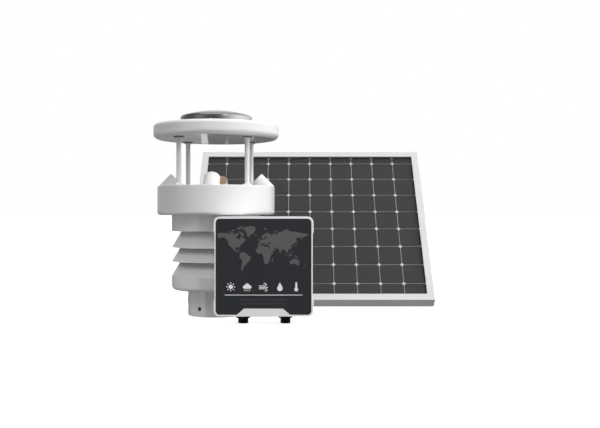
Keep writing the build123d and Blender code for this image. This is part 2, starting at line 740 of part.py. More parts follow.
def corner_keys():
    """Angle pieces inside the rails that hold the mitred corners together."""
    reach = 26.0
    bottom = -PANEL_T + FLANGE_T + LOOSE_FIT
    height = LEDGE_TOP - LIP_T - LOOSE_FIT - bottom
    inner = RAIL_WALL + LOOSE_FIT
    from_corner = (Align.MIN, Align.MIN, Align.MIN)
    key = Box(reach, 3.0, height, align=from_corner) + Box(3.0, reach, height, align=from_corner)
    left = Pos(inner - PANEL_W / 2, inner - PANEL_L / 2, bottom) * key
    lower = [left, mirror(left, Plane.YZ)]
    upper = [mirror(corner, Plane.XZ) for corner in lower]
    return Pos(0, PANEL_L / 2, 0) * Compound(lower + upper)


def cover_glass():
    """Tempered glass held under the lip."""
    width = PANEL_W - 2 * LAMINATE_MARGIN
    return flat(width, PANEL_L - 2 * LAMINATE_MARGIN, CELL_TOP, GLASS_TOP)


def back_sheet():
    """White backing behind the cells."""
    width = PANEL_W - 2 * LAMINATE_MARGIN
    return flat(width, PANEL_L - 2 * LAMINATE_MARGIN, LEDGE_TOP, SHEET_TOP)


def grid_cuts(first, opening):
    """Edges of the cells along one side of the glass opening, from under one lip to under the other."""
    cuts = [-CELL_UNDER_LIP]
    line = first
    while line < opening:
        cuts.append(line)
        line += CELL_PITCH
    return cuts + [opening + CELL_UNDER_LIP]


def solar_cells():
    """Cells with cut corners, so that the backing shows as a diamond where four of them meet."""
    opening_w = PANEL_W - 2 * LIP_W
    opening_l = PANEL_L - 2 * LIP_W
    columns = grid_cuts(FIRST_COLUMN, opening_w)
    rows = grid_cuts(FIRST_ROW, opening_l)
    cells = []
    for left, right in zip(columns, columns[1:]):
        for low, high in zip(rows, rows[1:]):
            width = right - left - CELL_GAP
            length = high - low - CELL_GAP
            cell = Pos((left + right) / 2, (low + high) / 2) * Rectangle(width, length)
            cells.append(extrude(chamfer(cell.vertices(), CELL_CORNER), CELL_T - FILM_T))
    return Pos(LIP_W - PANEL_W / 2, LIP_W, SHEET_TOP) * Compound(cells)


def junction_box():
    """Open box bonded to the backing for the panel's terminals."""
    box = extrude(RectangleRounded(*JUNCTION_SIZE, 3), JUNCTION_T)
    box -= Pos(0, 0, -1) * Box(JUNCTION_SIZE[0] - 5, JUNCTION_SIZE[1] - 5, JUNCTION_T - 1, align=BASE)
    drill = Rot(90, 0, 0) * Cylinder(GLAND_R + SLIDE_FIT, 12)
    box -= Pos(0, -JUNCTION_SIZE[1] / 2, JUNCTION_T / 2) * drill
    return Pos(0, JUNCTION_UP, LEDGE_TOP - JUNCTION_T) * box


def junction_lid():
    """Lid of the junction box."""
    lid = extrude(RectangleRounded(*JUNCTION_SIZE, 3), LID_T)
    return Pos(0, JUNCTION_UP, LEDGE_TOP - JUNCTION_T - LID_T) * lid


def cable_gland():
    """Gland in the lower wall of the junction box, for the panel's lead."""
    wall = JUNCTION_UP - JUNCTION_SIZE[1] / 2
    gland = Cylinder(GLAND_R, 10, align=BASE) + Pos(0, 0, 4.6) * Cylinder(5.6, 5.0, align=BASE)
    gland -= Cylinder(2.5, 30)
    return Pos(0, wall + 4.5, LEDGE_TOP - JUNCTION_T / 2) * (Rot(90, 0, 0) * gland)


# Pivot of the stand in the flat panel's frame, and the leg's slant when it is open.
PIVOT_Z = -PANEL_T - PIVOT_BACK
TILT = radians(PANEL_TILT)
PIVOT_WORLD_Y = PANEL_Y + PIVOT_UP * cos(TILT) - PIVOT_Z * sin(TILT)
PIVOT_WORLD_Z = PANEL_Z + PIVOT_UP * sin(TILT) + PIVOT_Z * cos(TILT)
HEEL_Y = TOTAL_DEPTH / 2 - FOOT_R
LEG_RUN = HEEL_Y - PIVOT_WORLD_Y
LEG_DROP = PIVOT_WORLD_Z - FOOT_R
LEG_LENGTH = hypot(LEG_RUN, LEG_DROP)
LEG_SLANT = degrees(atan2(LEG_RUN, LEG_DROP))
EAR_X = PANEL_W / 2 - FLANGE_W + 1.0
LEG_X = EAR_X - SIDE_GAP - LEG_T
STOP_ALONG = 12.0
STOP_R = 1.5
BRACKET_SCREWS_Y = (-8, 8)
BRACKET_SCREW_X = 7.5
FROM_SIDE = (Align.MIN, Align.CENTER, Align.MIN)


def crosswise(radius, start, end):
    """Cylinder along X between two places."""
    return Pos(start, 0, 0) * (Rot(0, 90, 0) * Cylinder(radius, end - start, align=BASE))


def at_pivot(shape):
    """Moves a piece built about the pivot, in the panel's directions, to its place on the flat panel."""
    return Pos(0, PIVOT_UP, PIVOT_Z) * shape


def both_sides(shape):
    """A piece of the right side and its mirror image."""
    return [shape, mirror(shape, Plane.YZ)]


def pivot_bracket():
    """Angle bracket on the side rail: a foot on the flange, an ear for the pivot and a stop peg."""
    fold = 90 - PANEL_TILT + LEG_SLANT
    ear = Pos(EAR_X, 0, -EAR_REACH + PIVOT_BACK) * Box(EAR_T, EAR_W, EAR_REACH, align=FROM_SIDE)
    ear = fillet(ear.edges().filter_by(Axis.X).sort_by(Axis.Z)[:2], 5)
    foot = Pos(EAR_X, 0, PIVOT_BACK - EAR_T) * Box(FLANGE_W - 2.0, EAR_W, EAR_T, align=FROM_SIDE)
    beside = LEG_W / 2 + STOP_R + 0.15
    stop_y = -STOP_ALONG * cos(radians(fold)) + beside * sin(radians(fold))
    stop_z = -STOP_ALONG * sin(radians(fold)) - beside * cos(radians(fold))
    peg = Pos(0, stop_y, stop_z) * crosswise(STOP_R, LEG_X, EAR_X + 0.5)
    bracket = ear + foot + peg - crosswise(PIVOT_R + SLIDE_FIT, EAR_X - 1, EAR_X + EAR_T + 1)
    for y in BRACKET_SCREWS_Y:
        bracket -= Pos(EAR_X + BRACKET_SCREW_X, y, 0) * disc(1.6, 0, PIVOT_BACK + 1)
    return at_pivot(bracket)


def bracket_screws():
    """Small screws that hold each bracket to the rail's flange."""
    seat = PIVOT_BACK - EAR_T
    screws = []
    for y in BRACKET_SCREWS_Y:
        screw = disc(2.8, seat - 1.6, seat) + disc(1.5, seat - 1, PIVOT_BACK)
        screws += both_sides(at_pivot(Pos(EAR_X + BRACKET_SCREW_X, y, 0) * screw))
    return Compound(screws)


def pivot_bolts():
    """Bolts that the legs turn on and the knobs clamp."""
    head = crosswise(4.5, LEG_X - SIDE_GAP - 3.0, LEG_X - SIDE_GAP)
    bolt = head + crosswise(PIVOT_R, LEG_X - 1.0, EAR_X + EAR_T + 9.0)
    return Compound(both_sides(at_pivot(bolt)))


def tilt_knob():
    """Six-lobed hand knob on the end of the pivot bolt."""
    start = EAR_X + EAR_T + SIDE_GAP
    knob = crosswise(KNOB_R - 1.2, start, start + 8.0)
    for lobe in range(6):
        knob += Rot(lobe * 60, 0, 0) * (Pos(0, KNOB_R - 2.2, 0) * crosswise(2.2, start, start + 8.0))
    return at_pivot(knob - crosswise(PIVOT_R + SLIDE_FIT, start - 1, start + 9))


def in_world(shape):
    """Moves a piece built about the pivot in level directions to its place on the floor plan."""
    return Pos(PANEL_X, PIVOT_WORLD_Y, PIVOT_WORLD_Z) * shape


def stand_leg():
    """Flat bar that hangs from the pivot to the crossbar, with rounded ends."""
    straight = LEG_LENGTH - 2.0
    bar = Pos(LEG_X, 0, -straight) * Box(LEG_T, LEG_W, straight, align=FROM_SIDE)
    bar += crosswise(LEG_W / 2, LEG_X, LEG_X + LEG_T)
    bar += Pos(0, 0, -LEG_LENGTH) * crosswise(FOOT_R - 0.5, LEG_X, LEG_X + LEG_T)
    span = (LEG_X - 1, LEG_X + LEG_T + 1)
    bar -= crosswise(PIVOT_R + SLIDE_FIT, *span)
    return bar - Pos(0, 0, -LEG_LENGTH) * crosswise(CROSSBAR_R + SLIDE_FIT, *span)


def stand_parts():
    """Legs, crossbar and rubber feet, swung out to the open position."""
    swing = Rot(LEG_SLANT, 0, 0)
    half = LEG_X + LEG_T + 1.0
    heel = Pos(0, 0, -LEG_LENGTH)
    foot = crosswise(FOOT_R, LEG_X - 22, LEG_X) - crosswise(CROSSBAR_R + SLIDE_FIT, LEG_X - 23, LEG_X + 1)
    pieces = {
        "stand_legs": Compound(both_sides(stand_leg())),
        "stand_crossbar": heel * crosswise(CROSSBAR_R, -half, half),
        "stand_feet": Compound(both_sides(heel * foot)),
    }
    return {name: in_world(swing * shape) for name, shape in pieces.items()}


def panel_parts():
    """Every piece of the panel and its stand by name."""
    right_knob, left_knob = both_sides(tilt_knob())
    parts = {
        **frame_rails(), "corner_keys": corner_keys(), "cover_glass": cover_glass(),
        "solar_cells": solar_cells(), "back_sheet": back_sheet(), "junction_box": junction_box(),
        "junction_lid": junction_lid(), "cable_gland": cable_gland(),
        "pivot_brackets": Compound(both_sides(pivot_bracket())),
        "bracket_screws": bracket_screws(), "pivot_bolts": pivot_bolts(),
        "tilt_knob_left": left_knob, "tilt_knob_right": right_knob,
    }
    placed = {name: PANEL_PLACE * shape for name, shape in parts.items()}
    return {**placed, **stand_parts()}


os.makedirs("parts", exist_ok=True)
for name, shape in {**sensor_parts(), **controller_parts(), **panel_parts()}.items():
    export_step(shape, f"parts/{name}.step")
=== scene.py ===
"""Looks of the weather station kit: sensor head, controller box and solar panel on one floor."""
import math

import bmesh
import bpy
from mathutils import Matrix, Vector


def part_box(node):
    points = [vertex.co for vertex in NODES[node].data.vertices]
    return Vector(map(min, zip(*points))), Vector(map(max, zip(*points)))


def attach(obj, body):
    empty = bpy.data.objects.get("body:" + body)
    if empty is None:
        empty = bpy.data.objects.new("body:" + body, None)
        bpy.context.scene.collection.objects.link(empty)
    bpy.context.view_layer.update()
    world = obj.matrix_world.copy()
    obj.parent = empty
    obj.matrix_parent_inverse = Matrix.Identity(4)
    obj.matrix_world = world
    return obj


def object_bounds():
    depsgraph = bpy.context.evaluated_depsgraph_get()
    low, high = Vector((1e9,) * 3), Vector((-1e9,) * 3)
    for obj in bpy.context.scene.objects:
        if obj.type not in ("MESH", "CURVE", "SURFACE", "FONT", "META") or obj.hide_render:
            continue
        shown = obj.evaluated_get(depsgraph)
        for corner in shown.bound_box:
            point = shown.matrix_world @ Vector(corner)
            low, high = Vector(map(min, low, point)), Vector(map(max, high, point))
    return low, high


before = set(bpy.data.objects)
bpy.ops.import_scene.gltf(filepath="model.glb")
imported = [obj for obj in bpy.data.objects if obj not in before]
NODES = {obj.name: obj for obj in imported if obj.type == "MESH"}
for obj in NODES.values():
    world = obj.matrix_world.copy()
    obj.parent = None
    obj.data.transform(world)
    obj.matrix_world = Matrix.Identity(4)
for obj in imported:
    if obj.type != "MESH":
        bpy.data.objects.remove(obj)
cad_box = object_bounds()

MM = 0.001
# Camera: eye height above the floor, distance ahead of the nearest piece and shift to the right.
EYE_HEIGHT = 0.1291
EYE_AHEAD = 0.9446
EYE_SIDE = 0.00065
LENS_MM = 48.93
SENSOR_MM = 36.0
# Studio sky: brightness of each side, and the heights on a unit sphere between which they blend.
SKY = {"bottom": 0.27, "front": 0.12, "right": 1.7, "back": 0.7, "left": 0.45, "top": 0.72}
SKY_EDGES = (-0.05, 0.08, 0.4, 0.7)
# How much of the bottom, the sides and the top shows at each of those heights, as red, green and blue.
SKY_SHARES = ((1, 0, 0, 1), (0, 1, 0, 1), (0, 1, 0, 1), (0, 0, 1, 1))
FLOOR_HALF = 30.0
FLOOR_DROP = 0.1 * MM
FLOOR_GLOW = 0.75
# Soft lights: azimuth to the right, elevation, size in metres and power in watts.
LIGHTS = {"key": (50, 45, 0.35, 19.0), "high": (60, 70, 1.0, 6.5), "fill": (35, 20, 0.9, 8.5),
          "rim": (-30, 45, 1.0, 7.0)}
LIGHT_DISTANCE = 2.2
LIGHT_TARGET = Vector((0, 0, 0.12))
WALLS = {"wall_left_low": (-40, -135, -45, 0, (1.3, -1.1, -0.43)),
         "wall_left_dark": (-50, -160, 0, 60, (0.12, 0.0, 0.5)),
         "softbox": (26, 42, 14, 34, (2.0, 0.0, 0.0))}
WALL_DISTANCE = 20.0
WALL_STEPS = 12


# ---------------------------------------------------------------- places read from the CAD


def middle(node):
    """Centre of a CAD node's box."""
    low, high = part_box(node)
    return (low + high) / 2


SENSOR_AXIS = middle("mast_collar")
PANEL_LOW, PANEL_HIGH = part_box("front_panel")
BARREL_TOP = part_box("rear_case")[0].z


def slope_direction():
    """Unit vector up the slope of the solar panel, from the box of its back sheet."""
    low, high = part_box("back_sheet")
    return Vector((0, high.y - low.y, high.z - low.z)).normalized()


SLOPE = slope_direction()


# ---------------------------------------------------------------- material helpers


def linear(level):
    """Linear value of an 8-bit screen grey."""
    c = level / 255
    return c / 12.92 if c <= 0.04045 else ((c + 0.055) / 1.055) ** 2.4


def grey(level):
    """Linear colour of an 8-bit screen grey."""
    value = linear(level)
    return (value, value, value, 1)


def tint(red, green, blue):
    """Linear colour of three 8-bit screen values."""
    return (linear(red), linear(green), linear(blue), 1)


class Look:
    """A procedural material on one Principled shader, with short calls for its texture nodes."""

    def __init__(self, name, color, roughness, metallic=0.0):
        self.material = bpy.data.materials.new(name)
        self.material.use_nodes = True
        self.tree = self.material.node_tree
        self.shader = self.tree.nodes["Principled BSDF"]
        self.set("Base Color", color)
        self.set("Roughness", roughness)
        self.set("Metallic", metallic)
        self.place = self.tree.nodes.new("ShaderNodeTexCoord").outputs["Object"]
        self.material.diffuse_color = color

    def set(self, socket, value):
        """Plain value on a socket of the shader."""
        self.shader.inputs[socket].default_value = value

    def node(self, kind, **settings):
        """New node with its settings."""
        made = self.tree.nodes.new(kind)
        for key, value in settings.items():
            setattr(made, key, value)
        return made

    def link(self, source, target):
        self.tree.links.new(source, target)

    def math(self, operation, *values):
        """Output of a math node on numbers or on other nodes' outputs."""
        made = self.node("ShaderNodeMath", operation=operation)
        for socket, value in zip(made.inputs, values):
            if isinstance(value, (int, float)):
                socket.default_value = value
            else:
                self.link(value, socket)
        return made.outputs[0]

    def scaled(self, stretch):
        """Object coordinates stretched along X, Y and Z."""
        made = self.node("ShaderNodeMapping")
        made.inputs["Scale"].default_value = stretch
        self.link(self.place, made.inputs["Vector"])
        return made.outputs["Vector"]

    def noise(self, scale, detail=3.0, stretch=(1, 1, 1)):
        """Noise from 0 to 1, with about `scale` blotches to the metre."""
        made = self.node("ShaderNodeTexNoise")
        made.inputs["Scale"].default_value = scale
        made.inputs["Detail"].default_value = detail
        self.link(self.scaled(stretch), made.inputs["Vector"])
        return made.outputs["Fac"]

    def along(self, direction):
        """Distance along a direction from the origin, in metres."""
        made = self.node("ShaderNodeVectorMath", operation="DOT_PRODUCT")
        self.link(self.place, made.inputs[0])
        made.inputs[1].default_value = direction
        return made.outputs["Value"]

    def from_axis(self, axis):
        """Distance from an upright axis, in metres."""
        moved = self.node("ShaderNodeVectorMath", operation="SUBTRACT")
        self.link(self.place, moved.inputs[0])
        moved.inputs[1].default_value = (axis.x, axis.y, 0)
        flat = self.node("ShaderNodeVectorMath", operation="MULTIPLY")
        self.link(moved.outputs[0], flat.inputs[0])
        flat.inputs[1].default_value = (1, 1, 0)
        length = self.node("ShaderNodeVectorMath", operation="LENGTH")
        self.link(flat.outputs[0], length.inputs[0])
        return length.outputs["Value"]

    def ripple(self, distance, pitch):
        """Sine wave of the given pitch along a distance."""
        return self.math("SINE", self.math("MULTIPLY", distance, 2 * math.pi / pitch))

    def mix_color(self, factor, low, high):
        """Colour between two ends by a factor from 0 to 1."""
        made = self.node("ShaderNodeMix", data_type="RGBA")
        self.link(factor, made.inputs["Factor"])
        made.inputs["A"].default_value = low
        made.inputs["B"].default_value = high
        return made.outputs["Result"]

    def vary_color(self, factor, low, high):
        """Base colour between two ends."""
        self.link(self.mix_color(factor, low, high), self.shader.inputs["Base Color"])

    def vary_roughness(self, factor, low, high):
        """Roughness between two ends."""
        made = self.node("ShaderNodeMapRange")
        self.link(factor, made.inputs["Value"])
        made.inputs["To Min"].default_value = low
        made.inputs["To Max"].default_value = high
        self.link(made.outputs["Result"], self.shader.inputs["Roughness"])

    def bump(self, height, distance, strength=1.0):
        """Surface relief of a depth in metres."""
        made = self.node("ShaderNodeBump")
        made.inputs["Distance"].default_value = distance
        made.inputs["Strength"].default_value = strength
        self.link(height, made.inputs["Height"])
        self.link(made.outputs["Normal"], self.shader.inputs["Normal"])


# ---------------------------------------------------------------- materials


def white_plastic():
    """Glossy light plastic with the faint unevenness of a large moulding."""
    look = Look("white_plastic", grey(228), 0.08)
    look.vary_color(look.noise(22, 2), grey(226), grey(231))
    look.vary_roughness(look.noise(60, 4), 0.05, 0.11)
    look.bump(look.noise(240, 2), 0.002 * MM, 0.5)
    return look.material


def polished_plate():
    """The same plastic polished flat, with faint turning marks."""
    look = Look("polished_plate", grey(226), 0.04)
    look.vary_roughness(look.noise(90, 3), 0.03, 0.06)
    look.bump(look.ripple(look.from_axis(SENSOR_AXIS), 0.8 * MM), 0.001 * MM, 0.5)
    return look.material


def spun_steel():
    """Spun stainless dome with fine circular lines."""
    look = Look("spun_steel", grey(176), 0.16, 1.0)
    look.vary_roughness(look.noise(40, 3), 0.12, 0.2)
    look.bump(look.ripple(look.from_axis(SENSOR_AXIS), 0.7 * MM), 0.002 * MM, 0.6)
    return look.material


def turned_steel():
    """Turned stainless steel of rods, spacers and nuts, with fine lines round them."""
    look = Look("turned_steel", grey(205), 0.3, 1.0)
    look.vary_roughness(look.noise(30, 3), 0.24, 0.36)
    look.bump(look.ripple(look.along((0, 0, 1)), 0.5 * MM), 0.002 * MM, 0.5)
    return look.material


def screw_steel():
    """Dark screws with a slight bloom."""
    look = Look("screw_steel", grey(105), 0.35, 1.0)
    look.vary_color(look.noise(300, 3), grey(92), grey(118))
    return look.material


def black_rubber():
    """Matt black rubber with a fine grain."""
    look = Look("black_rubber", grey(38), 0.75)
    look.vary_color(look.noise(250, 4), grey(32), grey(46))
    look.bump(look.noise(1600, 2), 0.05 * MM, 0.6)
    return look.material


def grey_rubber():
    """Dark grey rubber of the washers."""
    look = Look("grey_rubber", grey(112), 0.7)
    look.vary_color(look.noise(400, 3), grey(106), grey(118))
    return look.material


def copper_face():
    """Copper-coloured transducer membrane with faint rings."""
    look = Look("copper_face", tint(232, 188, 146), 0.45)
    look.vary_color(look.noise(220, 3), tint(226, 181, 139), tint(238, 195, 153))
    look.bump(look.noise(900, 2), 0.02 * MM, 0.5)
    return look.material


def circuit_board():
    """Green solder mask with slightly raised tracks."""
    look = Look("circuit_board", tint(24, 92, 52), 0.35)
    tracks = look.node("ShaderNodeTexVoronoi", distance="MANHATTAN", feature="DISTANCE_TO_EDGE")
    tracks.inputs["Scale"].default_value = 260
    look.link(look.scaled((1, 1, 1)), tracks.inputs["Vector"])
    edge = look.math("LESS_THAN", tracks.outputs["Distance"], 0.08)
    look.vary_color(edge, tint(20, 82, 46), tint(46, 128, 78))
    look.bump(edge, 0.03 * MM, 0.5)
    return look.material


def plain_brass():
    """Thin brass sheet."""
    look = Look("plain_brass", tint(214, 178, 108), 0.3, 1.0)
    look.vary_roughness(look.noise(120, 3), 0.22, 0.38)
    return look.material


def nickel():
    """Nickel-plated connector."""
    look = Look("nickel", tint(205, 200, 190), 0.2, 1.0)
    look.vary_roughness(look.noise(150, 3), 0.12, 0.28)
    return look.material


def sintered_filter():
    """Grainy sintered filter cap."""
    look = Look("sintered_filter", grey(176), 0.85)
    look.vary_color(look.noise(1500, 2), grey(158), grey(190))
    look.bump(look.noise(1800, 2), 0.12 * MM, 0.8)
    return look.material


def case_plastic():
    """Light grey case plastic with a fine spark-eroded texture."""
    look = Look("case_plastic", grey(236), 0.42)
    look.vary_color(look.noise(24, 2), grey(234), grey(238))
    look.vary_roughness(look.noise(70, 3), 0.36, 0.48)
    look.bump(look.noise(1500, 3), 0.03 * MM, 0.5)
    return look.material


def front_film():
    """Dark printed front film, slightly uneven in gloss."""
    look = Look("front_film", tint(44, 46, 50), 0.45)
    look.vary_color(look.noise(30, 2), tint(43, 45, 49), tint(46, 48, 52))
    look.vary_roughness(look.noise(45, 4), 0.38, 0.5)
    look.bump(look.noise(2200, 2), 0.01 * MM, 0.5)
    look.set("Specular IOR Level", 0.3)
    return look.material


def print_ink(name, level):
    """Screen-printed ink with a slight mottle."""
    look = Look(name, grey(level), 0.55)
    look.vary_color(look.noise(700, 3), grey(level - 3), grey(level + 3))
    look.set("Specular IOR Level", 0.3)
    return look.material


def battery_wrap():
    """Blue shrink wrap."""
    look = Look("battery_wrap", tint(52, 98, 140), 0.25)
    look.vary_roughness(look.noise(80, 3), 0.18, 0.32)
    return look.material


def black_plastic():
    """Black moulded plastic with a fine grain."""
    look = Look("black_plastic", grey(34), 0.5)
    look.vary_color(look.noise(40, 3), grey(30), grey(38))
    look.bump(look.noise(1400, 2), 0.04 * MM, 0.6)
    return look.material


def port_metal():
    """Black anodised connector shell with a fine thread on its barrel."""
    look = Look("port_metal", grey(10), 0.5)
    height = look.along((0, 0, 1))
    thread = look.ripple(height, 1.0 * MM)
    below = look.math("LESS_THAN", height, BARREL_TOP - 2.2 * MM)
    look.bump(look.math("MULTIPLY", thread, below), 0.25 * MM, 0.8)
    look.set("Specular IOR Level", 0.2)
    return look.material


def frame_aluminium():
    """Satin anodised aluminium with faint drawing lines."""
    look = Look("frame_aluminium", grey(226), 0.5, 0.45)
    look.vary_color(look.noise(25, 3), grey(223), grey(229))
    look.bump(look.noise(600, 2, stretch=(0.05, 1, 1)), 0.01 * MM, 0.4)
    return look.material


def leg_aluminium():
    """Plain brushed aluminium of the brackets and legs."""
    look = Look("leg_aluminium", grey(205), 0.38, 1.0)
    look.vary_roughness(look.noise(50, 3), 0.32, 0.46)
    look.bump(look.noise(900, 2, stretch=(1, 1, 0.06)), 0.02 * MM, 0.5)
    return look.material


def solar_cell():
    """Dark silicon with fine printed fingers across it."""
    look = Look("solar_cell", grey(60), 0.5)
    finger = look.ripple(look.along(SLOPE), 2.6 * MM)
    line = look.math("GREATER_THAN", finger, 0.55)
    shade = look.math("MULTIPLY", line, look.math("ADD", look.noise(14, 2), 0.35))
    look.vary_color(shade, grey(60), grey(68))
    look.set("Specular IOR Level", 0.2)
    return look.material


def solar_glass():
    """Clear front glass: only a faint sheen over the cells."""
    look = Look("solar_glass", grey(40), 0.12)
    look.vary_roughness(look.noise(500, 2), 0.08, 0.16)
    look.set("Alpha", 0.06)
    look.set("Specular IOR Level", 0.4)
    return look.material


def backing():
    """White film behind the cells."""
    look = Look("backing", grey(214), 0.7)
    look.vary_color(look.noise(200, 3), grey(210), grey(218))
    return look.material


def floor_white():
    """Plain pale floor with a glow of its own."""
    look = Look("floor_white", grey(250), 0.9)
    look.vary_color(look.noise(3, 2), grey(249), grey(251))
    look.set("Emission Color", (1, 1, 1, 1))
    look.set("Emission Strength", FLOOR_GLOW)
    return look.material


NODE_LOOKS = {
    spun_steel: ("rain_dome",),
    white_plastic: ("top_cover", "north_mark", "support_posts", "ring_housing", "transducer_horns",
                    "ring_base", "neck_shell", "louver_upper", "louver_middle", "lower_cup", "mast_collar"),
    polished_plate: ("reflector_plate",),
    turned_steel: ("louver_rods", "louver_spacers", "stand_crossbar", "port_nuts"),
    grey_rubber: ("post_washers",),
    black_rubber: ("dome_seal", "transducer_sleeves", "case_gasket", "stand_feet"),
    screw_steel: ("reflector_screws", "collar_screws", "case_screws", "bracket_screws", "pivot_bolts"),
    copper_face: ("transducers",),
    circuit_board: ("rain_board", "main_board", "climate_board", "controller_board"),
    plain_brass: ("piezo_disc", "port_pins"),
    nickel: ("sensor_socket",),
    sintered_filter: ("climate_probe",),
    case_plastic: ("front_cover", "rear_case"),
    front_film: ("front_panel",),
    battery_wrap: ("battery_cells",),
    black_plastic: ("battery_holder", "port_inserts", "junction_box", "junction_lid", "cable_gland",
                    "tilt_knob_left", "tilt_knob_right", "reset_button"),
    port_metal: ("port_left", "port_right"),
    frame_aluminium: ("frame_rail_bottom", "frame_rail_top", "frame_rail_left", "frame_rail_right",
                      "corner_keys"),
    leg_aluminium: ("pivot_brackets", "stand_legs"),
    solar_glass: ("cover_glass",),
    solar_cell: ("solar_cells",),
    backing: ("back_sheet",),
}


def dress_nodes():
    """Gives every CAD node its material."""
    for make, names in NODE_LOOKS.items():
        material = make()
        for name in names:
            slots = NODES[name].data.materials
            slots.clear()
            slots.append(material)


# ---------------------------------------------------------------- printed front of the controller

PRINT_T = 0.06 * MM
MAP_DEGREE = 0.299 * MM   # width of one degree of longitude
MAP_EQUATOR = 69.1 * MM   # equator above the bottom of the dark panel
MAP_MERIDIAN = -3.7 * MM  # zero meridian beside the panel's middle
# Signs and rules in millimetres; heights are above the bottom of the dark panel.
SIGN_PITCH = 19.0
SIGN_HEIGHT = 32.3
SIGN_STROKE = 0.9
WHITE_RULE = (90.0, 22.8, 0.8)                       # width, height and thickness
DIM_RULES = ((54.0, 16.9, 1.1), (52.0, 12.7, 1.1))

